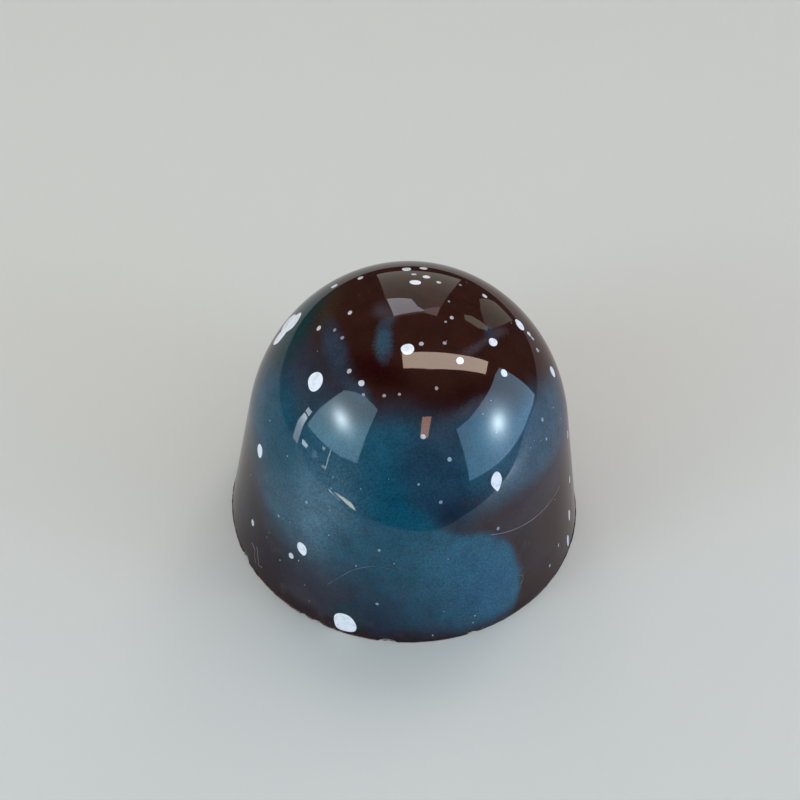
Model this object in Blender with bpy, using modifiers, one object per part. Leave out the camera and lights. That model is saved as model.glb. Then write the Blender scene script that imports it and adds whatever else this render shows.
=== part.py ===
"""Moulded chocolate praline: one solid, a dome on a conical wall with a flat underside.

The shape is the negative of a polycarbonate praline mould: a wall with draft so that the
chocolate drops out, running tangentially into a half-ellipse dome. The underside is the
face that is scraped level with the mould. Its rim is slightly rounded and has a few chips
from the scraping. Metres, +Z up, origin at the centre of the underside, front towards -Y.
"""
import math

import bmesh
import bpy
from mathutils import Matrix, Vector

MM = 0.001

# Driving dimensions
BASE_DIAMETER = 29.0 * MM
HEIGHT = 23.0 * MM
WALL_DRAFT = math.radians(9.2)      # lean of the side wall from vertical
DOME_RISE = 14.3 * MM               # half-height of the ellipse that the dome follows
RIM_RADIUS = 0.12 * MM              # rounding between the wall and the underside

# Fineness of the turned shape
TURN_STEPS = 80
DOME_STEPS = 20
WALL_STEPS = 4
RIM_STEPS = 2
UNDERSIDE_RINGS = 3
MERGE_DISTANCE = 0.001 * MM

# Chips in the rim: bearing from the front in degrees, width along the rim, depth
CHIP_BALL_RADIUS = 0.9 * MM
CHIPS = (
    (-3.0, 1.5 * MM, 0.22 * MM),
    (-26.0, 1.0 * MM, 0.16 * MM),
    (-31.0, 0.7 * MM, 0.14 * MM),
    (-61.0, 1.3 * MM, 0.20 * MM),
    (24.0, 0.8 * MM, 0.12 * MM),
    (118.0, 0.9 * MM, 0.15 * MM),
)

CHOCOLATE_COLOUR = (0.030, 0.012, 0.010, 1.0)
CHOCOLATE_ROUGHNESS = 0.12


def clear_scene():
    """Remove every object that the file opens with."""
    for item in list(bpy.data.objects):
        bpy.data.objects.remove(item, do_unlink=True)


def new_collection(name):
    """Make a collection under the scene's own."""
    collection = bpy.data.collections.new(name)
    bpy.context.scene.collection.children.link(collection)
    return collection


def chocolate_material():
    """Dark chocolate with the gloss that a polished mould leaves."""
    material = bpy.data.materials.new("dark_chocolate")
    material.use_nodes = True
    shader = material.node_tree.nodes["Principled BSDF"]
    shader.inputs["Base Color"].default_value = CHOCOLATE_COLOUR
    shader.inputs["Roughness"].default_value = CHOCOLATE_ROUGHNESS
    shader.inputs["Metallic"].default_value = 0.0
    return material


def dome_half_width():
    """Half-width of the dome's ellipse that makes it tangent to the conical wall."""
    centre_height = HEIGHT - DOME_RISE
    slope = math.tan(WALL_DRAFT)
    reach = BASE_DIAMETER / 2 - centre_height * slope
    return math.sqrt(reach ** 2 - (DOME_RISE * slope) ** 2)


def wall_radius(height):
    """Radius of the conical wall at a height."""
    return BASE_DIAMETER / 2 - height * math.tan(WALL_DRAFT)


def dome_points():
    """Profile from the top down to where the dome meets the wall."""
    half_width = dome_half_width()
    centre_height = HEIGHT - DOME_RISE
    meeting = math.atan2(DOME_RISE * math.tan(WALL_DRAFT), half_width)
    points = []
    for step in range(DOME_STEPS + 1):
        angle = math.pi / 2 + (meeting - math.pi / 2) * step / DOME_STEPS
        radius = half_width * math.cos(angle) if step else 0.0
        points.append((radius, centre_height + DOME_RISE * math.sin(angle)))
    return points


def rim_points():
    """Quarter round that turns the wall into the underside."""
    # Centre of the arc that touches both the underside and the leaning wall
    centre_radius = wall_radius(RIM_RADIUS) - RIM_RADIUS / math.cos(WALL_DRAFT)
    points = []
    for step in range(RIM_STEPS + 1):
        angle = WALL_DRAFT - (WALL_DRAFT + math.pi / 2) * step / RIM_STEPS
        radius = centre_radius + RIM_RADIUS * math.cos(angle)
        height = RIM_RADIUS + RIM_RADIUS * math.sin(angle)
        points.append((radius, 0.0 if step == RIM_STEPS else height))
    return points


def wall_points(top, bottom):
    """Points along the straight wall, without its two ends."""
    points = []
    for step in range(1, WALL_STEPS):
        share = step / WALL_STEPS
        radius = top[0] + (bottom[0] - top[0]) * share
        height = top[1] + (bottom[1] - top[1]) * share
        points.append((radius, height))
    return points


def underside_points(rim_edge):
    """Rings of the flat underside, from its rim to its centre."""
    points = []
    for ring in range(1, UNDERSIDE_RINGS):
        points.append((rim_edge[0] * (1 - ring / UNDERSIDE_RINGS), 0.0))
    points.append((0.0, 0.0))
    return points


def praline_profile():
    """The whole outline, top to bottom down the outer side."""
    dome = dome_points()
    rim = rim_points()
    wall = wall_points(dome[-1], rim[0])
    return dome + wall + rim + underside_points(rim[-1])


def add_turned_body(name, profile, collection, material):
    """Turn a profile into a solid with a Screw modifier."""
    mesh = bpy.data.meshes.new(name)
    outline = bmesh.new()
    vertices = [outline.verts.new((radius, 0.0, height)) for radius, height in profile]
    for above, below in zip(vertices, vertices[1:]):
        outline.edges.new((above, below))
    outline.to_mesh(mesh)
    outline.free()
    mesh.materials.append(material)
    body = bpy.data.objects.new(name, mesh)
    collection.objects.link(body)
    turn = body.modifiers.new("turn", "SCREW")
    turn.axis = "Z"
    turn.angle = 2 * math.pi
    turn.steps = TURN_STEPS
    turn.render_steps = TURN_STEPS
    turn.use_merge_vertices = True
    turn.merge_threshold = MERGE_DISTANCE
    turn.use_smooth_shade = True
    return body


def add_chip_cutter(index, bearing, width, depth, collection):
    """A faceted ball, stretched along the rim, that bites the rim to a width and a depth."""
    mesh = bpy.data.meshes.new("chip_cutter_%02d" % index)
    ball = bmesh.new()
    bmesh.ops.create_icosphere(ball, subdivisions=2, radius=1.0)
    angle = math.radians(bearing)
    outward = Vector((math.sin(angle), -math.cos(angle), 0.0))
    along = Vector((math.cos(angle), math.sin(angle), 0.0))
    upward = Vector((0.0, 0.0, 1.0))
    # The ball's centre lies on the line that leaves the middle of the rim at 45 degrees
    inset = RIM_RADIUS * (1 - math.cos(math.pi / 4))
    middle = outward * (BASE_DIAMETER / 2 - inset) + upward * inset
    centre = middle + (outward - upward).normalized() * (CHIP_BALL_RADIUS - depth)
    half_length = width / 2 / math.sqrt(1 - (1 - depth / CHIP_BALL_RADIUS) ** 2)
    turned = Matrix((outward, along, upward)).transposed().to_4x4()
    size = Matrix.Diagonal((CHIP_BALL_RADIUS, half_length, CHIP_BALL_RADIUS, 1.0))
    place = Matrix.Translation(centre) @ turned @ size
    bmesh.ops.transform(ball, matrix=place, verts=ball.verts)
    ball.to_mesh(mesh)
    ball.free()
    cutter = bpy.data.objects.new(mesh.name, mesh)
    collection.objects.link(cutter)
    cutter.hide_render = True
    cutter.display_type = "WIRE"
    return cutter


def cut_chips(body, collection):
    """Take the chips out of the rim, one Boolean each."""
    for index, (bearing, width, depth) in enumerate(CHIPS):
        cutter = add_chip_cutter(index, bearing, width, depth, collection)
        cut = body.modifiers.new("chip_%02d" % index, "BOOLEAN")
        cut.operation = "DIFFERENCE"
        cut.solver = "EXACT"
        cut.object = cutter


clear_scene()
praline_parts = new_collection("chocolate_praline")
praline_cutters = new_collection("chocolate_praline_cutters")
praline = add_turned_body("praline", praline_profile(), praline_parts, chocolate_material())
cut_chips(praline, praline_cutters)
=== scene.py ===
"""A moulded dark chocolate praline with an airbrushed night-sky finish.

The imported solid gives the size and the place. The shell, its scraped base layer, the white
cocoa butter splatter, the hairlines in the skin and the crumbs at the foot are made here.
"""
import bisect
import math
import random

import bmesh
import bpy
from mathutils import Matrix, Vector, noise
from mathutils.bvhtree import BVHTree


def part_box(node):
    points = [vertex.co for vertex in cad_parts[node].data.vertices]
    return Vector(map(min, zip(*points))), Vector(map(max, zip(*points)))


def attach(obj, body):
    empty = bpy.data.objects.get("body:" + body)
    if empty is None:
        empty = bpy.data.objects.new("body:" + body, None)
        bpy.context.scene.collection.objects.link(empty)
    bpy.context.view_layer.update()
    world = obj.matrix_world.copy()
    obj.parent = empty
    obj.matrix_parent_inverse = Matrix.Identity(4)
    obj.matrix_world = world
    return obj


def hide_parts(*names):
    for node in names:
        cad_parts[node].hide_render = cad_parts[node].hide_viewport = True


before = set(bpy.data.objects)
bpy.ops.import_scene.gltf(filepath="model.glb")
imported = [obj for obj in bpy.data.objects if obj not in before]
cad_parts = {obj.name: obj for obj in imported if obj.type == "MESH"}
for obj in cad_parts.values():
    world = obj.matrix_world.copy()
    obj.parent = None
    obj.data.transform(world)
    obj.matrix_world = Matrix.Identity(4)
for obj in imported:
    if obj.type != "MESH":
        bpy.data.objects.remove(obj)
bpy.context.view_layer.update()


# ---------------------------------------------------------------- Moulded shell
# The shell is dark chocolate cast in a polished mould: a half-ellipse dome that runs into
# a wall with a little draft. The mould leaves a mirror gloss with a very faint waviness.
mm = 0.001
low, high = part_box("praline")
wall_lean = math.tan(math.radians(9.2))
rim_round = 0.12 * mm
foot_radius = high.x + rim_round * wall_lean
dome_rise = 14.3 / 23 * (high.z - low.z)
dome_middle = high.z - dome_rise
wall_reach = foot_radius - dome_middle * wall_lean
dome_radius = math.sqrt(wall_reach ** 2 - (dome_rise * wall_lean) ** 2)
shell_edge = 0.09 * mm
shell_turns = 360
dome_rows = 56
wall_rows = 32
waviness = 0.004 * mm
wave_length = 3.5 * mm

outline = []
meeting = math.atan2(dome_rise * wall_lean, dome_radius)
for row in range(dome_rows + 1):
    angle = math.pi / 2 + (meeting - math.pi / 2) * row / dome_rows
    radius = dome_radius * math.cos(angle) if row else 0.0
    outline.append((radius, dome_middle + dome_rise * math.sin(angle)))
wall_top = outline[-1][1]
for row in range(1, wall_rows + 1):
    level = wall_top + (shell_edge - wall_top) * row / wall_rows
    outline.append((foot_radius - level * wall_lean, level))
outline_arc = [0.0]
for (radius_a, level_a), (radius_b, level_b) in zip(outline, outline[1:]):
    outline_arc.append(outline_arc[-1] + math.hypot(radius_b - radius_a, level_b - level_a))


def on_shell(bearing, arc):
    """Point and outward direction at a bearing from the front, in degrees, and a distance
    down the skin from the top of the dome, in millimetres."""
    index = min(max(bisect.bisect(outline_arc, arc * mm), 1), len(outline) - 1)
    share = (arc * mm - outline_arc[index - 1]) / (outline_arc[index] - outline_arc[index - 1])
    (radius_a, level_a), (radius_b, level_b) = outline[index - 1], outline[index]
    radius = radius_a + (radius_b - radius_a) * share
    level = level_a + (level_b - level_a) * share
    out = Vector((math.sin(math.radians(bearing)), -math.cos(math.radians(bearing)), 0.0))
    normal = out * (level_a - level_b) + Vector((0.0, 0.0, radius_b - radius_a))
    return out * radius + Vector((0.0, 0.0, level)), normal.normalized()


def turned(profile, turns):
    """Closed bmesh from a profile of radius and height that starts and ends on the axis."""
    body = bmesh.new()
    corners = [body.verts.new((radius, 0.0, level)) for radius, level in profile]
    for upper, lower in zip(corners, corners[1:]):
        body.edges.new((upper, lower))
    bmesh.ops.spin(
        body,
        geom=body.verts[:] + body.edges[:],
        cent=(0.0, 0.0, 0.0),
        axis=(0.0, 0.0, 1.0),
        angle=2 * math.pi,
        steps=turns,
        use_merge=True,
    )
    bmesh.ops.remove_doubles(body, verts=body.verts, dist=0.0001 * mm)
    bmesh.ops.recalc_face_normals(body, faces=body.faces)
    return body


# Chips in the foot: bearing, width along the foot and depth
chips = [
    (-3, 1.5, 0.22),
    (-26, 1.0, 0.16),
    (-31, 0.7, 0.14),
    (-61, 1.3, 0.20),
    (24, 0.8, 0.12),
    (118, 0.9, 0.15),
]
chip_ball = 0.9 * mm


def chip_foot(body):
    """Press the foot back where crumbs broke away, each as if by a small ball."""
    foot = [vertex for vertex in body.verts if vertex.co.z < chip_ball]
    for bearing, width, depth in chips:
        turn = math.radians(bearing)
        out = Vector((math.sin(turn), -math.cos(turn), 0.0))
        along = Vector((math.cos(turn), math.sin(turn), 0.0))
        down = (out - Vector((0.0, 0.0, 1.0))).normalized()
        middle = out * foot_radius + down * (chip_ball - depth * mm)
        half_width = width * mm / 2 / math.sqrt(1 - (1 - depth * mm / chip_ball) ** 2)
        for vertex in foot:
            away = vertex.co - middle
            sideways = away.dot(along) / half_width
            inside = Vector((away.dot(out) / chip_ball, sideways, away.z / chip_ball))
            if inside.length < 1:
                spread = away / max(inside.length, 0.001)
                vertex.co = middle + spread


shell_body = turned(outline + [(0.0, shell_edge)], shell_turns)
shell_body.normal_update()
for vertex in shell_body.verts:
    if vertex.co.z > shell_edge + 0.01 * mm:
        vertex.co += vertex.normal * waviness * noise.noise(vertex.co / wave_length)
chip_foot(shell_body)
shell_tree = BVHTree.FromBMesh(shell_body)

# The skin is laid out flat as seen from above the dome, and the hidden bottom in a corner.
skin_share = 0.493
corner_middle = 0.07
corner_share = 0.06
skin_map = shell_body.loops.layers.uv.new("OFBake")
levels_down = [-level for radius, level in outline]
laid_flat = {}
for vertex in shell_body.verts:
    index = min(max(bisect.bisect(levels_down, -vertex.co.z), 1), len(outline) - 1)
    span = levels_down[index] - levels_down[index - 1]
    share = min(max((-vertex.co.z - levels_down[index - 1]) / span, 0.0), 1.0)
    reach = outline_arc[index - 1] + (outline_arc[index] - outline_arc[index - 1]) * share
    reach *= skin_share / outline_arc[-1]
    bearing = math.atan2(vertex.co.x, -vertex.co.y)
    laid_flat[vertex] = (0.5 + reach * math.sin(bearing), 0.5 - reach * math.cos(bearing))
for face in shell_body.faces:
    for loop in face.loops:
        if face.normal.z > -0.9:
            loop[skin_map].uv = laid_flat[loop.vert]
            continue
        point = loop.vert.co / foot_radius
        flat_x = corner_middle - corner_share * point.x
        loop[skin_map].uv = (flat_x, corner_middle + corner_share * point.y)


def finished(name, body, material):
    """Turn a bmesh into a smooth-shaded piece of the praline."""
    mesh = bpy.data.meshes.new(name)
    body.to_mesh(mesh)
    body.free()
    mesh.shade_smooth()
    mesh.set_sharp_from_angle(angle=math.radians(32))
    mesh.materials.append(material)
    piece = bpy.data.objects.new(name, mesh)
    bpy.context.scene.collection.objects.link(piece)
    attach(piece, "root")
    return piece


# ---------------------------------------------------------------- Airbrushed skin
# Coloured cocoa butter was sprayed into the mould in soft clouds of teal, steel blue and
# violet, thin enough at their edges to let the dark chocolate behind them show. The blues
# hold a little pearl, so they glow softly round a reflection of a light.
class Wire:
    """A socket in a node tree. Sums and products of wires add Math nodes to it."""

    def __init__(self, tree, socket=None):
        self.tree = tree
        self.socket = socket

    def add(self, kind, values=(), output=0, **settings):
        """Any node: its settings come first, then the values or wires of its sockets."""
        node = self.tree.nodes.new(kind)
        for name, value in settings.items():
            setattr(node, name, value)
        for name, value in dict(values).items():
            if isinstance(value, Wire):
                self.tree.links.new(value.socket, node.inputs[name])
            else:
                node.inputs[name].default_value = value
        return Wire(self.tree, node.outputs[output])

    def math(self, operation, *values, clamp=False):
        return self.add("ShaderNodeMath", enumerate(values), operation=operation, use_clamp=clamp)

    def vector(self, operation, *values, output=0):
        kind = "ShaderNodeVectorMath"
        return self.add(kind, enumerate(values), output=output, operation=operation)

    def __add__(self, other):
        return self.math("ADD", self, other)

    def __sub__(self, other):
        return self.math("SUBTRACT", self, other)

    def __mul__(self, other):
        return self.math("MULTIPLY", self, other)

    def __truediv__(self, other):
        return self.math("DIVIDE", self, other)

    def __rsub__(self, other):
        return self.math("SUBTRACT", other, self)

    __radd__ = __add__
    __rmul__ = __mul__

    def step(self, start, end):
        """0 at start and 1 at end, easing in between."""
        sockets = {"Value": self, "From Min": start, "From Max": end}
        return self.add("ShaderNodeMapRange", sockets, interpolation_type="SMOOTHSTEP")

    def grain(self, size, detail=2.0, output="Fac"):
        """Noise with lumps of a size in millimetres, read at this place."""
        sockets = {"Vector": self, "Scale": 1 / (size * mm), "Detail": detail, "Roughness": 0.5}
        return self.add("ShaderNodeTexNoise", sockets, output=output)

    def shifted(self, size, amount, detail=2.0):
        """This place moved about by noise, by up to half an amount in millimetres."""
        centred = self.vector("SUBTRACT", self.grain(size, detail, "Color"), (0.5, 0.5, 0.5))
        return self.vector("MULTIPLY_ADD", centred, (amount * mm,) * 3, self)

    def mixed(self, colour, amount, blend="MIX"):
        """This colour with another laid over it."""
        sockets = {0: amount, 6: self, 7: colour}
        return self.add("ShaderNodeMix", sockets, output=2, data_type="RGBA", blend_type=blend)


def shade(red, green, blue):
    """A colour from its display values, 0 to 255, as the linear values that shaders take."""
    linear = []
    for value in (red, green, blue):
        part = value / 255
        linear.append(part / 12.92 if part <= 0.04045 else ((part + 0.055) / 1.055) ** 2.4)
    return (*linear, 1.0)


def new_material(name):
    """An empty node material: its shader and a wire to build on."""
    material = bpy.data.materials.new(name)
    material.use_nodes = True
    return material, material.node_tree.nodes["Principled BSDF"], Wire(material.node_tree)


def plug(shader, **values):
    """Set or link a shader's sockets, whose names take an underscore for each space."""
    for name, value in values.items():
        socket = shader.inputs[name.replace("_", " ")]
        if isinstance(value, Wire):
            value.tree.links.new(value.socket, socket)
        else:
            socket.default_value = value


def ellipse(place, middle, across, out, half_width, half_height, turn=0.0, depth=None):
    """How far a place is from the middle of an ellipse that lies across and up a surface
    and is turned by degrees: 0 at its middle and 1 on its edge."""
    axes = Matrix((across, out.cross(across), out)).transposed()
    axes = axes @ Matrix.Rotation(math.radians(turn), 3, "Z")
    sockets = {
        "Vector": place,
        "Location": middle,
        "Rotation": axes.to_euler(),
        "Scale": (half_width, half_height, depth or max(half_width, half_height)),
    }
    local = place.add("ShaderNodeMapping", sockets, vector_type="TEXTURE")
    return local.vector("LENGTH", local, output="Value")


def cloud(place, bearing, arc, half_width, half_height, turn, softness):
    """A soft-edged patch of spray on the skin, in millimetres: 1 at its middle and 0 outside."""
    middle, out = on_shell(bearing, arc)
    across = Vector((math.cos(math.radians(bearing)), math.sin(math.radians(bearing)), 0.0))
    edge = ellipse(place, middle, across, out, half_width * mm, half_height * mm, turn)
    return edge.step(1 + softness / 2, 1 - softness)


chocolate = shade(52, 26, 20)
deep_chocolate = shade(36, 6, 5)
teal = shade(30, 76, 95)
bright_teal = shade(14, 74, 96)
lobe_blue = shade(37, 86, 108)
cobalt = shade(38, 84, 118)
steel = shade(46, 81, 99)
grey_steel = shade(54, 79, 97)
pale_steel = shade(78, 108, 126)
slate = shade(50, 60, 74)
wisp_blue = shade(54, 76, 92)
night_blue = shade(31, 57, 76)
navy = shade(26, 40, 58)
lilac = shade(78, 70, 76)
plum = shade(56, 48, 58)
dusk_and_shade = shade(23, 5, 21)
umber = shade(50, 36, 36)
green = shade(20, 58, 60)
olive = shade(62, 48, 30)

# From the chocolate outwards: colour, strength, bearing, arc, half sizes, turn, softness
clouds = [
    # the darkest chocolate, under the crown and low on the right
    (deep_chocolate, 0.9, -24, 6.4, 3.6, 1.3, 0, 0.9),
    (deep_chocolate, 0.6, 24, 8.2, 4.4, 1.0, 0, 0.9),
    (deep_chocolate, 1.0, 68, 26.0, 7.0, 6.0, 0, 0.5),
    (deep_chocolate, 0.9, -84, 26.0, 4.4, 4.0, 0, 0.6),
    # slate at the upper left, thin enough to look brown at its edge
    (slate, 0.6, -50, 9.6, 5.4, 2.4, -6, 0.9),
    (slate, 0.7, -78, 12.0, 4.6, 2.0, -10, 0.8),
    # the broad blue front and its left flank
    (teal, 1.0, -4, 15.4, 5.4, 7.0, 0, 0.4),
    (teal, 0.95, -24, 14.6, 5.0, 4.8, 0, 0.5),
    (steel, 1.0, -40, 17.8, 7.0, 7.4, -4, 0.6),
    (teal, 0.9, -62, 14.8, 5.2, 4.0, -12, 0.6),
    (steel, 0.8, -80, 16.4, 3.0, 3.4, 10, 0.8),
    (pale_steel, 0.9, -29, 19.4, 3.6, 5.4, 0, 1.0),
    # the right shoulder, up to the foot of the crown
    (slate, 0.9, 26, 15.6, 3.8, 3.6, 0, 0.5),
    (teal, 0.9, 32, 12.4, 4.4, 3.4, 6, 0.45),
    (grey_steel, 1.0, 54, 14.8, 5.4, 3.8, 4, 0.5),
    (grey_steel, 0.9, 78, 15.4, 4.4, 3.2, 2, 0.7),
    (navy, 0.7, 68, 19.4, 3.8, 1.4, 4, 0.8),
    # the plum band under the shoulder fades into the chocolate
    (plum, 0.9, 46, 20.4, 5.0, 2.3, 6, 0.7),
    (umber, 0.8, 47, 24.2, 3.0, 4.4, 0, 0.8),
    # the lower lobe, whose right side ends crisply
    (lobe_blue, 1.0, 14, 26.4, 6.9, 7.9, 0, 0.08),
    (cobalt, 0.7, 30, 25.8, 2.6, 2.6, 0, 0.9),
    (teal, 0.9, -9, 22.0, 4.6, 4.6, 0, 0.5),
    # the middle: bright teal at its left, and a dark lobe that leans in from the right
    (bright_teal, 0.9, -2, 16.4, 3.8, 3.6, -10, 0.9),
    (slate, 0.7, 14, 11.4, 2.6, 3.0, -20, 0.8),
    (night_blue, 0.78, 13, 14.6, 2.5, 4.6, 32, 0.5),
    (navy, 0.9, 18, 17.4, 1.5, 2.2, 40, 0.8),
    # lower left, where plum and chocolate show through, and the green spots
    (navy, 1.0, -9, 28.7, 7.2, 5.2, 0, 1.0),
    (slate, 0.65, -35, 25.6, 5.4, 3.2, 0, 1.0),
    # the dusk clouds are darker than the paint alone: partly painted shade for the dark floor and
    # contact shadow mirrored low on the left
    (dusk_and_shade, 1.0, -55, 29.0, 6.6, 5.4, 6, 1.0),
    (dusk_and_shade, 0.8, -68, 24.0, 3.0, 3.0, 0, 0.9),
    (plum, 0.5, -33, 28.4, 3.0, 2.4, 0, 0.9),
    (umber, 0.6, -82, 22.0, 2.6, 3.0, 0, 0.8),
    (green, 0.8, -66, 18.8, 1.7, 1.5, 0, 0.8),
    (green, 0.8, -17, 28.4, 1.5, 1.5, 0, 0.8),
    (slate, 0.3, -70, 9.8, 4.6, 2.0, -20, 0.8),
    (green, 0.85, -98, 10.2, 3.8, 2.8, -25, 0.8),
    (olive, 0.7, -98, 6.9, 2.4, 1.2, 0, 0.9),
    # wisps on the crown
    (wisp_blue, 0.95, -30, 4.15, 1.6, 0.75, -62, 0.6),
    (slate, 0.9, -44, 2.8, 0.9, 0.5, -80, 0.6),
    (lilac, 0.5, -68, 2.2, 1.4, 0.8, 0, 0.9),
    (slate, 0.9, -60, 6.8, 3.6, 0.9, -16, 0.8),
    (slate, 0.9, -30, 8.4, 1.6, 0.7, -16, 0.8),
    (slate, 0.7, 76, 6.0, 0.8, 0.6, 0, 0.8),
    (lilac, 0.5, 58, 5.6, 1.7, 0.42, -17, 0.8),
    (lilac, 0.5, 82, 6.8, 1.3, 0.4, -31, 0.8),
    (lilac, 0.5, 36, 9.4, 1.8, 0.6, 0, 0.8),
    # the far side
    (steel, 0.95, 146, 14.6, 7.0, 4.6, -14, 0.6),
    (teal, 1.0, 174, 18.6, 6.4, 6.2, 10, 0.5),
    (lobe_blue, 0.9, -148, 24.6, 5.6, 4.6, -8, 0.25),
    (pale_steel, 0.6, 160, 17.0, 2.0, 4.0, 20, 0.9),
    (navy, 0.7, -160, 15.0, 2.2, 3.6, -12, 0.7),
    (plum, 0.9, 118, 22.6, 6.0, 2.4, 6, 0.7),
    (slate, 0.8, -128, 12.0, 4.4, 2.0, 14, 0.8),
    (steel, 0.6, 165, 9.6, 1.9, 0.9, 20, 0.7),
]

skin, skin_shader, wire = new_material("airbrushed_skin")
place = wire.add("ShaderNodeTexCoord", output="Object")
drifted = place.shifted(5.0, 2.2)
sprayed = drifted.shifted(0.16, 0.5, detail=1.0)
colour = wire.add("ShaderNodeRGB")
colour.socket.default_value = chocolate
for paint, strength, *where in clouds:
    colour = colour.mixed(paint, cloud(sprayed, *where) * strength)
# Just above the foot the skin darkens toward deep chocolate: partly where the spray ends at the
# scraped edge, partly painted shade for the contact shadow that the gloss mirrors there
foot = drifted.add("ShaderNodeSeparateXYZ", {"Vector": drifted}, output="Z")
colour = colour.mixed(deep_chocolate, foot.step(2.0 * mm, 0.3 * mm) * 0.85)
red = colour.add("ShaderNodeSeparateColor", {"Color": colour}, output="Red")
blueness = colour.add("ShaderNodeSeparateColor", {"Color": colour}, output="Blue") - red
pearl = wire.math("MULTIPLY", blueness, 6.0, clamp=True)
# A plum bloom lies in flecks on the bare chocolate of the wall
bloom = place.grain(1.1, 4.0).step(0.48, 0.75) * foot.step(17 * mm, 12 * mm)
colour = colour.mixed(plum, bloom * (1 - pearl) * 0.6)
mottle = place.grain(1.5, 3.0).step(0.3, 0.7)
speckle = place.grain(0.16, 2.0).step(0.3, 0.72)
brightness = 0.95 + pearl * 0.125 + (mottle - 0.5) * 0.24
brightness = brightness + (speckle - 0.5) * (0.2 + pearl * 0.4)
colour = colour.add("ShaderNodeVectorMath", {0: colour, 3: brightness}, operation="SCALE")
plug(
    skin_shader,
    Base_Color=colour,
    Metallic=pearl * 0.1,
    Roughness=0.36 + speckle * 0.06,
    Specular_IOR_Level=0.0,
    Coat_Weight=1.0,
    Coat_Roughness=0.03,
    Coat_IOR=1.34,
)
shell = finished("shell", shell_body, skin)
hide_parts("praline")


# ---------------------------------------------------------------- Scraped base layer
# The filled shell is closed with a last layer of plain dark chocolate, scraped level with
# the mould. Its edge shows as a thin, slightly ragged dark line all round the foot, with a
# very thin burr of smeared chocolate under it.
base_top = 0.16 * mm
base_turns = 720
ragged_edge = 0.5 * mm
raggedness = 0.03 * mm
base_outline = [
    (0.0, base_top),
    (foot_radius - 0.6 * mm, base_top),
    (foot_radius - 0.03 * mm, base_top),
    (foot_radius + 0.005 * mm, base_top - 0.05 * mm),
    # the burr
    (foot_radius, 0.07 * mm),
    (foot_radius + 0.05 * mm, 0.035 * mm),
    (foot_radius + 0.04 * mm, 0.0),
]
base_outline += [(foot_radius * share, 0.0) for share in (0.95, 0.85, 0.7, 0.5, 0.3, 0.15)]
base_outline += [(0.0, 0.0)]
base_body = turned(base_outline, base_turns)
for vertex in base_body.verts:
    flat = Vector((vertex.co.x, vertex.co.y, 0.0))
    if flat.length > foot_radius - ragged_edge:
        ragged = noise.noise(flat / (0.8 * mm))
        ragged += 0.6 * noise.noise(flat / (0.25 * mm) + Vector((7, 0, 0)))
        vertex.co += flat.normalized() * raggedness * (ragged - 0.2)
chip_foot(base_body)

bare, bare_shader, wire = new_material("scraped_chocolate")
place = wire.add("ShaderNodeTexCoord", output="Object")
stretched = place.add("ShaderNodeMapping", {"Vector": place, "Scale": (1.0, 9.0, 1.0)})
scrape = stretched.grain(1.4, 4.0)
crumb = place.grain(0.35, 3.0)
milky = shade(84, 44, 34)
edge_black_and_shade = shade(20, 10, 11)
lit_burr_red = shade(146, 98, 84)
bare_colour = wire.add("ShaderNodeRGB")
bare_colour.socket.default_value = shade(46, 20, 17)
bare_colour = bare_colour.mixed(milky, crumb.step(0.52, 0.75) * 0.6)
# Its edge is nearly black: the dark bare chocolate, deepened as painted shade where the foot meets the
# floor
height = place.add("ShaderNodeSeparateXYZ", {"Vector": place}, output="Z")
bare_colour = bare_colour.mixed(edge_black_and_shade, height.step(0.05 * mm, 0.09 * mm) * 0.9)
# On the left the burr is a paler, redder brown: the smeared chocolate's own colour, lightened as a
# painted highlight where its corner catches the light
lit_left = place.add("ShaderNodeSeparateXYZ", {"Vector": place}, output="X")
lit_left = lit_left.step(-1 * mm, -5 * mm)
burr = height.step(0.075 * mm, 0.06 * mm) * height.step(0.0, 0.01 * mm)
bare_colour = bare_colour.mixed(lit_burr_red, burr * lit_left * crumb.step(0.4, 0.55))
relief = {"Height": scrape * 0.7 + crumb * 0.3, "Distance": 0.04 * mm, "Strength": 0.8}
bump = wire.add("ShaderNodeBump", relief, output="Normal")
plug(
    bare_shader,
    Base_Color=bare_colour,
    Roughness=0.34 + scrape * 0.2,
    Normal=bump,
    Specular_IOR_Level=0.2,
)
finished("base_layer", base_body, bare)


# ---------------------------------------------------------------- White splatter
# White cocoa butter was flicked into the mould before anything else, so each drop lies
# flush in the skin. A drop is round to oval with a slightly uneven edge, and a few have
# run to a point.
splatter_lift = 0.009 * mm
splatter_rim = -0.002 * mm
splatter_depth = 0.05 * mm
small_drop = 0.45
thin_drop = 0.31
splatter = bmesh.new()
dice = random.Random(11)


def add_to(heap, body):
    """Move what one bmesh holds into another."""
    mesh = bpy.data.meshes.new("moved")
    body.to_mesh(mesh)
    body.free()
    heap.from_mesh(mesh)
    bpy.data.meshes.remove(mesh)


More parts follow.
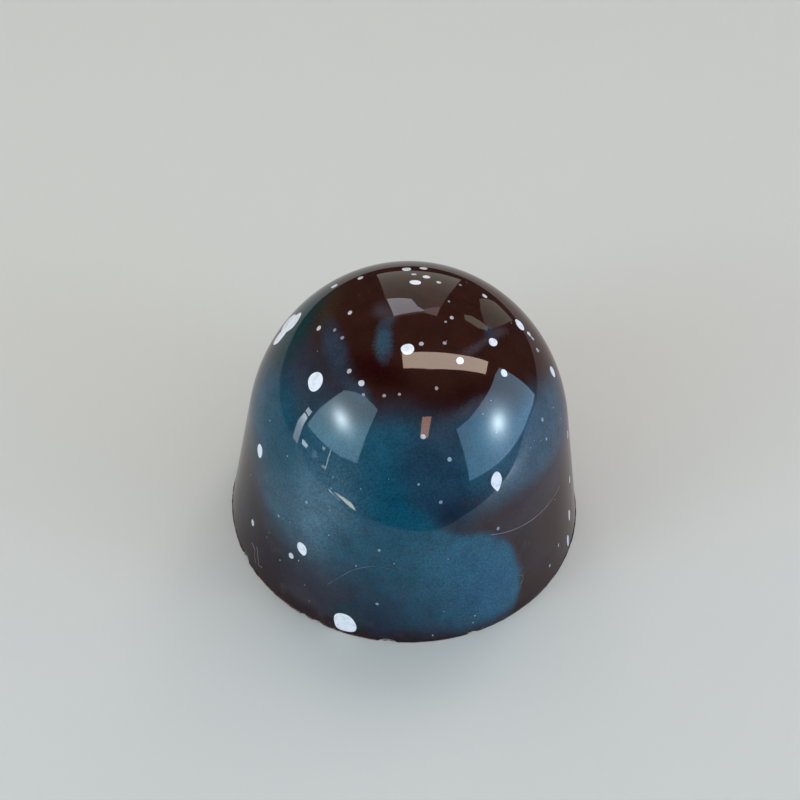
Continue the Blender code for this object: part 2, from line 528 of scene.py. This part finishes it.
def add_drop(bearing, arc, width, length, turn=0.0, point=0.0, uneven=0.05):
    """A drop lying in the skin: width across, length down the wall, in millimetres, turned
    by degrees. A point above 0 draws its lower end out. Small drops have fewer faces, and
    thin ones cover less."""
    small = max(width, length) < small_drop
    steps_round, steps_over = (12, 4) if small else (28, 8)
    drop = bmesh.new()
    thinness = drop.verts.layers.float.new("thinness")
    bmesh.ops.create_uvsphere(drop, u_segments=steps_round, v_segments=steps_over, radius=1.0)
    middle, out = on_shell(bearing, arc)
    across = Vector((math.cos(math.radians(bearing)), math.sin(math.radians(bearing)), 0.0))
    up = out.cross(across)
    phases = [dice.uniform(0, 2 * math.pi) for lobe in range(3)]
    for vertex in drop.verts:
        side = vertex.co.z
        ring = math.hypot(vertex.co.x, vertex.co.y)
        around = math.atan2(vertex.co.y, vertex.co.x)
        rim = abs(side) < 0.01
        if side > 0.01:
            ring = min(ring / (0.71 if small else 0.93), 1.0) * 0.985
        lobes = 0
        for lobe, phase in enumerate(phases):
            lobes += math.cos((2 + lobe) * around + phase) / (1 + lobe)
        reach = ring * (1 + uneven * lobes)
        flat_x = reach * math.cos(around) * width / 2
        flat_y = reach * math.sin(around) * length / 2
        if flat_y < 0 and point:
            taper = min(-flat_y / (length / 2), 1.0)
            flat_x *= 1 - point * taper ** 1.5
            flat_y *= 1 + 0.35 * point * taper
        cosine = math.cos(math.radians(turn))
        sine = math.sin(math.radians(turn))
        turned_x = flat_x * cosine - flat_y * sine
        turned_y = flat_x * sine + flat_y * cosine
        near = middle + across * turned_x * mm + up * turned_y * mm
        spot, facing, face_index, gap = shell_tree.find_nearest(near)
        lift = splatter_lift if side > 0.01 else splatter_rim
        if side < -0.01:
            lift = -splatter_depth
        vertex.co = spot + out.lerp(facing, 0.9).normalized() * lift
        vertex[thinness] = 1.0 if rim else min(1.0, thin_drop / max(width, 0.05)) ** 2
    add_to(splatter, drop)


# Bearing, arc, width and length, then turn and point where a drop has them
front_drops = [
    (-54.5, 9.6, 1.45, 1.42, 15),
    (-64, 18.3, 1.0, 1.15, 0, 0.2),
    (-35, 23.3, 0.95, 1.2, 10, 0.2),
    (-39, 24.8, 0.5, 0.6),
    (-60.5, 25.8, 0.45, 0.65),
    (-17, 29.1, 2.0, 1.9, -35, 0.3),
    (-4.5, 4.15, 1.0, 0.85),
    (39.5, 5.8, 0.6, 0.6),
    (73, 6.6, 0.8, 0.7, -20),
    (61, 8.6, 0.6, 0.6),
    (102, 9.2, 1.1, 0.95),
    (93, 11.1, 0.35, 0.4),
    (91, 13.5, 0.8, 1.05, 10),
    (35, 15.4, 1.0, 1.5, 0, 0.6),
    (75.5, 26.9, 0.5, 1.3),
    (72, 29.1, 0.5, 1.3),
    (80, 23.7, 0.4, 0.9),
    (83, 19.1, 0.5, 0.9),
    (-30, 7.6, 0.46, 0.48),
    (-41, 7.3, 0.36, 0.4),
    (-26, 8.3, 0.28, 0.24),
    (-14.5, 7.9, 0.28, 0.24),
    (-6, 7.6, 0.22, 0.22),
    (-84, 7.6, 0.44, 0.42),
    (-75, 6.3, 0.26, 0.28),
    (-64.5, 6.0, 0.3, 0.3),
    (-86.5, 4.9, 0.4, 0.36),
    (10.5, 3.7, 0.36, 0.32),
    (36, 4.1, 0.28, 0.28),
    (16.5, 7.2, 0.26, 0.28),
    (7, 10.6, 0.38, 0.38),
    (17.5, 12.5, 0.33, 0.35),
    (5, 14.2, 0.18, 0.2),
    (13, 15.8, 0.28, 0.28),
    (34, 19.9, 0.25, 0.35),
    (-7.5, 20.5, 0.22, 0.28),
    (-35.5, 18.4, 0.24, 0.28),
    (-47, 21.9, 0.22, 0.28),
    (-7, 26.2, 0.26, 0.26),
    (-43.5, 26.2, 0.16, 0.16),
    (65.5, 13.8, 0.3, 0.36),
    (63.5, 15.4, 0.2, 0.26),
    (57.5, 28.4, 0.28, 0.3),
    (64, 27.5, 0.22, 0.4),
    (72, 3.0, 0.35, 0.3),
    (59, 2.8, 0.22, 0.2),
    (105.5, 2.7, 0.22, 0.2),
]
far_drops = [
    (180, 2.6, 0.85, 0.7),
    (-171.5, 5.0, 0.75, 0.7),
    (173.6, 5.4, 0.6, 0.6),
    (167, 3.7, 0.6, 0.5),
    (-178, 3.9, 0.4, 0.35),
    (149, 3.5, 0.4, 0.35),
    (134, 4.9, 0.25, 0.25),
    (119, 6.4, 0.5, 0.45),
    (-124.5, 8.2, 0.6, 0.6),
    (-134.5, 6.2, 0.5, 0.5),
    (152, 12.0, 1.3, 1.4, 20, 0.2),
    (-150, 17.5, 1.1, 1.2, -10, 0.3),
    (168, 21.0, 0.8, 1.0, 0, 0.4),
    (-118, 24.0, 1.5, 1.6, 30, 0.2),
    (132, 25.5, 0.9, 1.1, 0, 0.2),
    (-165, 27.5, 0.7, 0.8),
]
for sizes in front_drops + far_drops:
    add_drop(*sizes)

# One heavy drop on the left shoulder has spread into three joined lobes
for sizes in ((-102.5, 11.2, 1.9, 2.2), (-99.5, 12.4, 1.6, 2.0), (-106.0, 12.0, 1.8, 1.9)):
    add_drop(*sizes, uneven=0.1)
# and one on the right has fallen beside its neighbour in two pieces
for sizes in ((99.6, 10.2, 0.5, 0.45), (98.4, 10.6, 0.35, 0.4)):
    add_drop(*sizes, uneven=0.12)

# Smaller drops carry the pattern on round the far side
far_specks = 46
for speck in range(far_specks):
    size = 0.14 + 0.5 * dice.random() ** 3
    add_drop(dice.uniform(118, 242), dice.uniform(9.5, 29), size, size * dice.uniform(0.9, 1.25))

white, white_shader, wire = new_material("white_cocoa_butter")
place = wire.add("ShaderNodeTexCoord", output="Object")
thin = wire.add("ShaderNodeAttribute", output="Fac", attribute_name="thinness")
white_colour = wire.add("ShaderNodeRGB")
white_colour.socket.default_value = shade(252, 249, 255)
clouding = place.grain(0.5, 2.0).step(0.45, 0.7) * 0.6
white_colour = white_colour.mixed(shade(214, 216, 228), clouding)
# Thin cocoa butter takes on the colour behind it: chocolate on the crown, blue lower down
height = place.add("ShaderNodeSeparateXYZ", {"Vector": place}, output="Z")
behind = wire.add("ShaderNodeRGB")
behind.socket.default_value = shade(112, 97, 100)
behind = behind.mixed(shade(66, 108, 132), height.step(20 * mm, 18 * mm))
white_colour = white_colour.mixed(behind, thin * 0.8)
plug(
    white_shader,
    Base_Color=white_colour,
    Roughness=0.3 + place.grain(0.4) * 0.1,
    Specular_IOR_Level=0.2,
    Coat_Weight=1.0,
    Coat_Roughness=0.03,
    Coat_IOR=1.34,
)
finished("white_drops", splatter, white)


# ---------------------------------------------------------------- Spray mist
# The finest of the splatter dried as a mist of specks a tenth of a millimetre across.
mist = bmesh.new()
mist_thinness = mist.verts.layers.float.new("thinness")
mist_specks = 80
speck_height = 0.014 * mm
for speck in range(mist_specks):
    bearing = dice.uniform(-180, 180)
    arc = 29.6 * math.sqrt(dice.random())
    size = dice.uniform(0.035, 0.075) * mm
    middle, out = on_shell(bearing, arc)
    spot, facing, face_index, gap = shell_tree.find_nearest(middle)
    made = bmesh.ops.create_icosphere(mist, subdivisions=1, radius=1.0)
    facing_out = out.to_track_quat("Z", "Y").to_matrix().to_4x4()
    flatten = Matrix.Diagonal((size, size * dice.uniform(0.8, 1.3), speck_height, 1.0))
    laid = Matrix.Translation(spot) @ facing_out @ flatten
    bmesh.ops.transform(mist, matrix=laid, verts=made["verts"])
    weight = dice.uniform(0.7, 1.1)
    for vertex in made["verts"]:
        vertex[mist_thinness] = weight
finished("spray_mist", mist, white)


# ---------------------------------------------------------------- Hairlines
# Fine pale lines curl through the skin where threads of cocoa butter or a hair of the
# brush lay in the mould. Each is a thread sunk to half its thickness, with its radius in
# millimetres and the bearings and arcs that it runs through.
front_curl = [(-24, 25.6), (-21.5, 24.8), (-19, 24.0), (-16, 23.2)]
front_curl += [(-12.5, 22.6), (-8.5, 22.2), (-5.5, 22.2), (-2.5, 22.35)]
right_curl = [(31, 20.2), (37, 20.7), (43, 21.05), (49, 21.3)]
right_curl += [(55, 21.45), (62, 21.5), (68, 21.45)]
left_kinks = [(-56, 27.5), (-55, 27.75), (-54.5, 28.25)]
left_kinks += [(-53.5, 28.7), (-53.2, 29.05), (-51.2, 28.85)]
hairlines = [
    (0.023, front_curl),
    (0.022, right_curl),
    (0.028, [(-59, 27.8), (-56.5, 28.05), (-56.2, 28.7), (-54.8, 29.2)]),
    (0.028, left_kinks),
    (0.014, [(42, 26.3), (43.6, 26.5), (43.8, 27.0), (42.6, 27.4)]),
    (0.014, [(152, 18), (158, 19.5), (166, 20.2), (174, 20.1)]),
]
parts_per_stop = 6
hair = bmesh.new()
for index, (radius, route) in enumerate(hairlines):
    line = bpy.data.curves.new("hairline_%d" % index, "CURVE")
    line.dimensions = "3D"
    line.bevel_depth = radius * mm
    line.bevel_resolution = 1
    line.use_fill_caps = True
    # A smooth curve through the stops of the route
    fine_route = []
    for start, end in zip(range(len(route) - 1), range(1, len(route))):
        before = route[max(start - 1, 0)]
        after = route[min(end + 1, len(route) - 1)]
        for part in range(parts_per_stop):
            t = part / parts_per_stop
            weights = (
                -t ** 3 / 2 + t ** 2 - t / 2,
                1.5 * t ** 3 - 2.5 * t ** 2 + 1,
                -1.5 * t ** 3 + 2 * t ** 2 + t / 2,
                t ** 3 / 2 - t ** 2 / 2,
            )
            stops = (before, route[start], route[end], after)
            bearing = sum(weight * stop[0] for weight, stop in zip(weights, stops))
            arc = sum(weight * stop[1] for weight, stop in zip(weights, stops))
            fine_route.append((bearing, arc))
    fine_route.append(route[-1])
    spline = line.splines.new("POLY")
    spline.points.add(len(fine_route) - 1)
    for point, (bearing, arc) in zip(spline.points, fine_route):
        point.co = (*on_shell(bearing, arc)[0], 1.0)
    thread = bpy.data.objects.new(line.name, line)
    bpy.context.scene.collection.objects.link(thread)
    bpy.context.view_layer.update()
    evaluated = thread.evaluated_get(bpy.context.evaluated_depsgraph_get())
    hair.from_mesh(bpy.data.meshes.new_from_object(evaluated))
    bpy.data.objects.remove(thread)
bmesh.ops.remove_doubles(hair, verts=hair.verts, dist=0.0005 * mm)
bmesh.ops.recalc_face_normals(hair, faces=hair.faces)

pale, pale_shader, wire = new_material("pale_hairline")
place = wire.add("ShaderNodeTexCoord", output="Object")
pale_colour = wire.add("ShaderNodeRGB")
pale_colour.socket.default_value = shade(90, 104, 112)
pale_colour = pale_colour.mixed(shade(58, 78, 90), place.grain(0.9, 3.0).step(0.4, 0.65))
# Away from the middle the threads are warmer
sideways = place.add("ShaderNodeSeparateXYZ", {"Vector": place}, output="X")
outer = (sideways * sideways).step((6 * mm) ** 2, (7 * mm) ** 2)
pale_colour = pale_colour.mixed(shade(136, 128, 122), outer * 0.8)
plug(pale_shader, Base_Color=pale_colour, Roughness=0.3, Coat_Weight=0.5, Coat_Roughness=0.05)
finished("hairlines", hair, pale)


# ---------------------------------------------------------------- Crumbs at the foot
# Scraping the mould level left a few thin flakes standing at the edge of the foot.
crumbs = bmesh.new()
# Bearing, length, depth, thickness and tilt of each flake
flakes = [
    (-3.6, 0.55, 0.10, 0.06, 10),
    (-1.6, 0.40, 0.09, 0.06, -12),
    (-24.5, 0.34, 0.10, 0.06, 24),
    (-29.0, 0.42, 0.09, 0.05, -18),
    (-33.0, 0.26, 0.08, 0.05, 8),
    (-62.0, 0.36, 0.12, 0.06, 30),
    (23.0, 0.34, 0.08, 0.05, -8),
    (27.5, 0.22, 0.07, 0.05, 12),
    (117.0, 0.40, 0.10, 0.06, 14),
    (-140.0, 0.34, 0.09, 0.05, -20),
]
for bearing, length, depth, thick, tilt in flakes:
    made = bmesh.ops.create_icosphere(crumbs, subdivisions=2, radius=1.0)
    for vertex in made["verts"]:
        vertex.co *= 1 + 0.35 * noise.noise(vertex.co * 1.7 + Vector((bearing, 0, 0)))
    turn = math.radians(bearing)
    out = Vector((math.sin(turn), -math.cos(turn), 0.0))
    along = Vector((math.cos(turn), math.sin(turn), 0.0))
    axes = Matrix((out, along, Vector((0, 0, 1)))).transposed().to_4x4()
    lean = Matrix.Rotation(math.radians(tilt), 4, "X")
    size = Matrix.Diagonal((depth * mm / 2, length * mm / 2, thick * mm / 2, 1.0))
    spot = out * (foot_radius - 0.02 * mm) + Vector((0.0, 0.0, 0.1 * mm))
    laid = Matrix.Translation(spot) @ axes @ lean @ size
    bmesh.ops.transform(crumbs, matrix=laid, verts=made["verts"])

flake, flake_shader, wire = new_material("pale_flake")
place = wire.add("ShaderNodeTexCoord", output="Object")
flake_colour = wire.add("ShaderNodeRGB")
flake_colour.socket.default_value = shade(176, 160, 148)
flake_colour = flake_colour.mixed(shade(92, 52, 42), place.grain(0.18, 2.0).step(0.45, 0.6))
plug(flake_shader, Base_Color=flake_colour, Roughness=0.45 + place.grain(0.2) * 0.1)
finished("crumbs", crumbs, flake)


# ---------------------------------------------------------------- Stage
# A plain pale floor runs out of sight. Only a slab of it near the praline shows in
# reflections: past its uneven edge the gloss mirrors the dim room.
def add_floor(name, corners, level):
    """A flat sheet of floor between corners in millimetres."""
    sheet = bmesh.new()
    rim = [sheet.verts.new((x * mm, y * mm, level)) for x, y in corners]
    bmesh.ops.contextual_create(sheet, geom=rim)
    mesh = bpy.data.meshes.new(name)
    sheet.to_mesh(mesh)
    sheet.free()
    mesh.materials.append(pale_floor)
    floor = bpy.data.objects.new(name, mesh)
    bpy.context.scene.collection.objects.link(floor)
    return floor


pale_floor, floor_shader, wire = new_material("pale_floor")
place = wire.add("ShaderNodeTexCoord", output="Object")
floor_colour = wire.add("ShaderNodeRGB")
floor_colour.socket.default_value = (0.63, 0.605, 0.575, 1.0)
# Behind the praline the floor is painted a little lighter and warmer: a painted sheen of the window
# behind
backwards = place.vector("DOT_PRODUCT", place, (0, 1, 0), output="Value")
floor_colour = floor_colour.mixed((0.66, 0.62, 0.57, 1.0), backwards.step(-0.03, 0.03))
# In the gloss the floor is painted a quarter darker: painted shade on its reflection
mirrored = wire.add("ShaderNodeLightPath", output="Is Glossy Ray")
floor_colour = floor_colour.mixed((0.0, 0.0, 0.0, 1.0), mirrored * 0.25)
# and looks warmer in the gloss on the right
rightward = place.add("ShaderNodeSeparateXYZ", {"Vector": place}, output="X").step(0, 25 * mm)
floor_colour = floor_colour.mixed((0.28, 0.0, 0.0, 1.0), mirrored * rightward * 0.2)
# Its polish throws a glare of the right window at the praline's side
glare_axes = (Vector((1, 0, 0)), Vector((0, 0, 1)), 30 * mm, 18 * mm, 20)
glare = ellipse(place, Vector((62, -34, 0)) * mm, *glare_axes)
shine = wire.add("ShaderNodeRGB")
shine.socket.default_value = (0.0, 0.0, 0.0, 1.0)
faded = glare * glare + 1
shine = shine.mixed((0.78, 0.92, 1.0, 1.0), mirrored / (faded * faded))
plug(
    floor_shader,
    Base_Color=floor_colour,
    Roughness=0.6,
    Specular_IOR_Level=0.2,
    Emission_Color=shine,
    Emission_Strength=4.0,
)
slab_front = [(-110, -37), (-50, -37), (-34, -41), (-18, -40)]
slab_front += [(-10, -32), (10, -31), (22, -34), (40, -34)]
slab_right = [(65, -30), (140, -26), (270, 5), (225, 44), (165, 60), (150, 88), (100, 98)]
slab_back = [(20, 100), (-40, 100), (-110, 90)]
add_floor("slab", slab_front + slab_right + slab_back, low.z)
wide = 2000
floor_corners = [(-wide, -wide), (wide, -wide), (wide, wide), (-wide, wide)]
floor = add_floor("floor", floor_corners, low.z - 0.01 * mm)
floor.visible_glossy = False

# Every light is a glowing panel that the camera doesn't see. Tall windows stand left and
# right of the camera, a warm strip hangs overhead, and behind are a dim window and the matt
# key light. Small bright things in the room give the gloss its smaller glints.
heart = Vector((0.0, 0.0, 15 * mm))
core_light = (0.76, 0.92, 1.0)


def towards(bearing, height):
    """Direction at a bearing from the front and a height above the level, in degrees."""
    level = math.cos(math.radians(height))
    rise = math.sin(math.radians(height))
    turn = math.radians(bearing)
    return Vector((math.sin(turn) * level, -math.cos(turn) * level, rise))


def light_panel(name, corners, colour, strength, core=None, fill=0.0, reach=0.5):
    """A panel with its corners at bearings and heights seen from the praline, in degrees. A
    core is a place on it, two half sizes, the light that is added there and a turn. Matt
    surfaces get a share of its light: fill."""
    sheet = bmesh.new()
    rim = [sheet.verts.new(heart + towards(*corner) * reach) for corner in corners]
    bmesh.ops.contextual_create(sheet, geom=rim)
    mesh = bpy.data.meshes.new(name)
    sheet.to_mesh(mesh)
    sheet.free()
    material = bpy.data.materials.new(name)
    material.use_nodes = True
    tree = material.node_tree
    tree.nodes.remove(tree.nodes["Principled BSDF"])
    wire = Wire(tree)
    light = wire.add("ShaderNodeEmission", {"Color": (*colour, 1.0)})
    emission = light.socket.node
    glow = wire.add("ShaderNodeLightPath", output="Is Glossy Ray") * (1 - fill) + fill
    if core:
        bearing, height, half_width, half_height, added, turn = core
        out = towards(bearing, height)
        across = towards(bearing + 90, 0)
        half_sizes = [reach * math.radians(half) for half in (half_width, half_height)]
        place = wire.add("ShaderNodeTexCoord", output="Object")
        away = ellipse(place, heart + out * reach, across, out, *half_sizes, turn, depth=1.0)
        spread = away * away + 1
        bright = wire.math("DIVIDE", added, spread * spread)
        tint = wire.add("ShaderNodeRGB")
        tint.socket.default_value = (*colour, 1.0)
        tint = tint.mixed((*core_light, 1.0), bright / (bright + strength))
        tree.links.new(tint.socket, emission.inputs["Color"])
        glow = glow * (bright + strength)
    else:
        glow = glow * strength
    tree.links.new(glow.socket, emission.inputs["Strength"])
    tree.links.new(light.socket, tree.nodes["Material Output"].inputs["Surface"])
    mesh.materials.append(material)
    panel = bpy.data.objects.new(name, mesh)
    bpy.context.scene.collection.objects.link(panel)
    panel.visible_camera = False
    panel.visible_diffuse = fill > 0
    panel.visible_glossy = fill < 1


left_head = [(-70.5, 38), (-62, 43.5), (-50, 46.5), (-39, 46), (-32, 44.5)]
left_corners = [(-76, 5), (-75, 18), (-73, 27)] + left_head + [(-33, 8), (-46, 6.5)]
left_core = (-56, 25.2, 9.0, 5.4, 33, -8)
light_panel("left_window", left_corners, (0.5, 0.84, 1.0), 4.8, core=left_core, fill=0.38)
right_head = [(41, 30.5), (55, 31.5), (70, 32.5), (86, 31.5), (98, 30), (105, 27)]
right_foot = [(107.5, 8), (109.5, -3.5), (96, -2), (64, -2), (48, -3.3), (41.5, -3.3)]
right_corners = right_head + right_foot
right_core = (73, 15.5, 7.2, 6.8, 36, 0)
light_panel("right_window", right_corners, (0.38, 0.69, 1.0), 5.0, core=right_core, fill=0.36)
back_left = [(-168, -2), (-162, 33), (-158, 56), (-176, 56.5)]
back_right = [(169, 53), (158, 52), (161.5, 33), (164, 11.5), (166.5, -4), (178, -1)]
light_panel("back_window", back_left + back_right, (1.0, 0.98, 0.86), 0.85, fill=0.3)
side_corners = [(154, 9), (154.5, 1.5), (153.5, -3), (144.5, -3.5)]
side_corners += [(138.5, 9.5), (132, 25), (138, 25.5), (146.5, 19.5)]
light_panel("side_window", side_corners, (1.0, 0.98, 0.84), 0.75, fill=0.3)
strip_far = [(-100, 83), (123, 87.5), (103, 77), (102, 67), (102.5, 56), (104, 45.5), (105, 35.5)]
strip_near = [(93.5, 37), (88, 48), (77, 61.5), (54, 73), (-25, 77.5)]
light_panel("warm_strip", strip_far + strip_near, (1.0, 0.8, 0.66), 14.2)
lamp_corners = [(14, 45), (23, 44), (16.5, 31), (10.5, 33)]
light_panel("warm_lamp", lamp_corners, (1.0, 0.5, 0.3), 10.0)
end_corners = [(-82.5, 11), (-78, 12), (-78, 8.6), (-82.5, 8)]
light_panel("left_strip_end", end_corners, (0.8, 0.82, 1.0), 14.0)
strip_corners = [(-82.5, 7), (-78.5, 7.6), (-78, 1.5), (-76.5, -9.5), (-81.5, -10.5), (-83.5, 0.5)]
light_panel("left_strip", strip_corners, (0.86, 0.88, 1.0), 5.0, core=(-80, 8, 8, 7, 14, 0))

# Colour, strength and corners of each glint
cloud_corners = [(-162, 36), (-170, 38), (-178, 40), (177, 47.5), (169, 51), (-176, 54.5), (-159, 55)]
edge_corners = [(-44, -15.5), (-38, -16), (-32, -17.5), (-29, -21.5), (-33.5, -20.5), (-38.5, -18)]
glints = [
    # cloud in the back window, and its sill
    ((0.88, 0.92, 1.0), 6.0, cloud_corners),
    ((1.0, 0.8, 0.83), 2.6, [(170.5, 49), (160.5, 42), (157.5, 52), (169, 53)]),
    # sill of the side window
    ((1.0, 0.96, 0.76), 2.1, [(145.5, 35.5), (143, 31), (134, 25), (131, 28), (133, 34), (141, 38.5)]),
    # small window, a pole and what stands by it, left
    ((0.75, 0.88, 1.0), 15.0, [(-74.5, -3), (-69, -2.5), (-69.5, -5), (-73.5, -5.5)]),
    ((0.9, 1.0, 0.9), 7.0, [(-59, 4.5), (-56.5, 5), (-56.5, 3), (-59, 3)]),
    ((0.9, 1.0, 0.9), 9.0, [(-53, 6), (-52.2, 6), (-51.9, -6), (-52.6, -6)]),
    ((0.9, 1.0, 0.9), 7.0, [(-55.5, -5.5), (-52.5, -4.5), (-52, -6.5), (-55, -6.5)]),
    ((0.9, 0.95, 1.0), 2.2, [(-64, -1.5), (-61.5, -1), (-61, -4), (-58, -5), (-63.5, -6.5)]),
    # sunlit edge past the slab
    ((1.0, 1.0, 0.8), 14.0, edge_corners),
    ((0.9, 0.95, 1.0), 13.0, [(-48.5, -16), (-47.5, -15.8), (-39.5, -19), (-41, -19.5)]),
]
for index, (colour, strength, corners) in enumerate(glints):
    light_panel("glint_%d" % index, corners, colour, strength, reach=0.42)
key_corners = [(-160, 28), (148.5, 28), (127.5, 58), (-139, 58)]
light_panel("key_light", key_corners, (1.0, 0.97, 0.93), 3.9, fill=1.0, reach=1.04)

world = bpy.data.worlds.new("studio")
bpy.context.scene.world = world
world.use_nodes = True
background = world.node_tree.nodes["Background"]
background.inputs["Color"].default_value = (0.95, 0.97, 1.0, 1.0)
air = Wire(world.node_tree)
glossy = air.add("ShaderNodeLightPath", output="Is Glossy Ray")
strength = 0.6 - glossy * 0.57
world.node_tree.links.new(strength.socket, background.inputs["Strength"])

camera_data = bpy.data.cameras.new("camera")
camera_data.lens = 72
camera_data.sensor_width = 36
camera_data.clip_start = 0.001
camera = bpy.data.objects.new("camera", camera_data)
bpy.context.scene.collection.objects.link(camera)
camera.location = Vector((0.0, -85.35, 105.7)) * mm
aim = Vector((-0.74, 0.0, 12.32)) * mm
looking = (aim - camera.location).to_track_quat("-Z", "Y").to_matrix()
camera.rotation_euler = (looking @ Matrix.Rotation(math.radians(2.53), 3, "Z")).to_euler()
bpy.context.scene.camera = camera
bpy.context.scene.view_settings.view_transform = "Standard"
